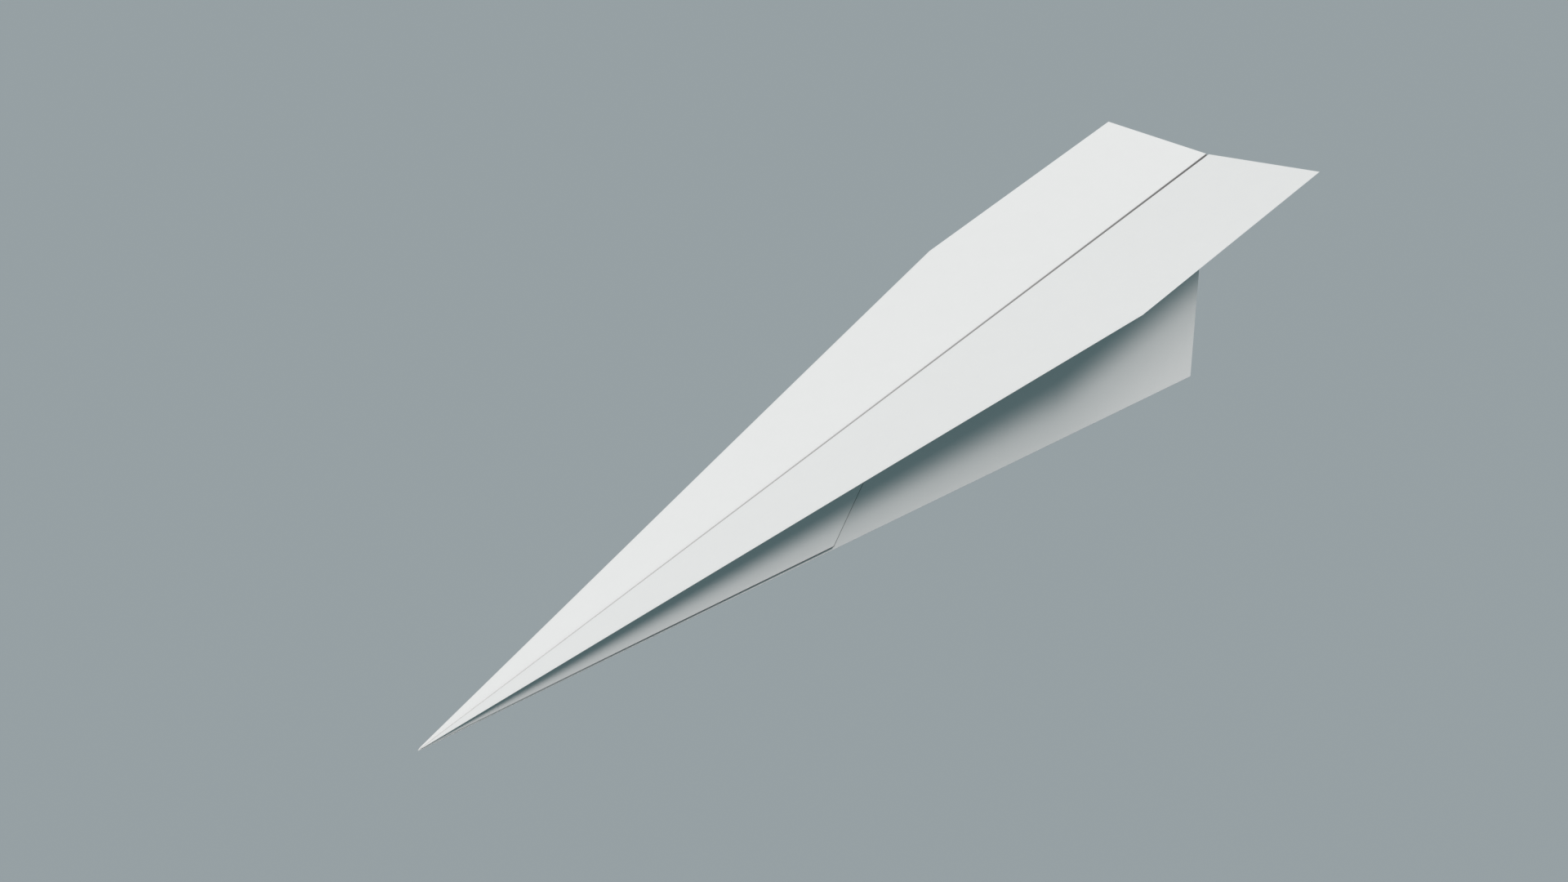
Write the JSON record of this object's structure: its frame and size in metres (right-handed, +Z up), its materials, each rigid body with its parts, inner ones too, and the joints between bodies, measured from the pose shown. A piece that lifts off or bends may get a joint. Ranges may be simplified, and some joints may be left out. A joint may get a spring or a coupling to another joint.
{
  "type": "paper airplane",
  "caption": "Classic dart folded from one sheet: narrow swept wings on a deep triangular body, with the folded-in nose flaps showing on both sides of the body.",
  "frame": {"origin": "centre of the bounding box at its lowest level, which is the outside of the centre fold (the keel)", "axes": "+X towards the nose along the keel, +Y towards the airplane's own left wing, +Z up; the keel lies on z = 0 and the wings are on top"},
  "size_m": [0.298, 0.071, 0.0697],
  "materials": {
    "paper": "plain white uncoated office paper, matt"
  },
  "bodies": {
    "keel": {"keel_crease": "paper"},
    "left_side": {"left_side_panel": "paper", "left_corner_layer_side": "paper", "left_wing_crease": "paper"},
    "left_flap": {"left_flap_side": "paper", "left_inner_layer_side": "paper", "left_flap_hem": "paper"},
    "left_wing": {"left_wing_panel": "paper", "left_corner_layer_wing": "paper", "left_inner_layer_wing": "paper", "left_flap_wing": "paper", "left_leading_fold": "paper"},
    "right_side": {"right_side_panel": "paper", "right_corner_layer_side": "paper", "right_wing_crease": "paper"},
    "right_flap": {"right_flap_side": "paper", "right_inner_layer_side": "paper", "right_flap_hem": "paper"},
    "right_wing": {"right_wing_panel": "paper", "right_corner_layer_wing": "paper", "right_inner_layer_wing": "paper", "right_flap_wing": "paper", "right_leading_fold": "paper"}
  },
  "joints": [
    {"name": "left_spread", "type": "hinge", "parent": "keel", "child": "left_side", "pos_m": [0, 0, 0.00015], "axis": [-1, 0, 0], "range_deg": [0, 20], "stiffness_Nm_per_rad": 0.02},
    {"name": "left_wing_fold", "type": "hinge", "parent": "left_side", "child": "left_wing", "pos_m": [0.00316, 0.00056, 0.0331], "axis": [0.975, -0.0008, -0.2222], "range_deg": [-80, 85], "stiffness_Nm_per_rad": 0.02},
    {"name": "left_flap_lift", "type": "hinge", "parent": "left_side", "child": "left_flap", "pos_m": [0.00316, 0.00056, 0.0331], "axis": [0.975, -0.0008, -0.2222], "range_deg": [0, 8], "stiffness_Nm_per_rad": 0.01},
    {"name": "right_spread", "type": "hinge", "parent": "keel", "child": "right_side", "pos_m": [0, 0, 0.00015], "axis": [1, 0, 0], "range_deg": [0, 20], "stiffness_Nm_per_rad": 0.02},
    {"name": "right_wing_fold", "type": "hinge", "parent": "right_side", "child": "right_wing", "pos_m": [0.00316, -0.00056, 0.0331], "axis": [-0.975, -0.0008, 0.2222], "range_deg": [-80, 85], "stiffness_Nm_per_rad": 0.02},
    {"name": "right_flap_lift", "type": "hinge", "parent": "right_side", "child": "right_flap", "pos_m": [0.00316, -0.00056, 0.0331], "axis": [-0.975, -0.0008, 0.2222], "range_deg": [0, 8], "stiffness_Nm_per_rad": 0.01}
  ],
  "couplings": [
    {"joint": "right_spread", "follows": "left_spread", "ratio": 1}
  ]
}
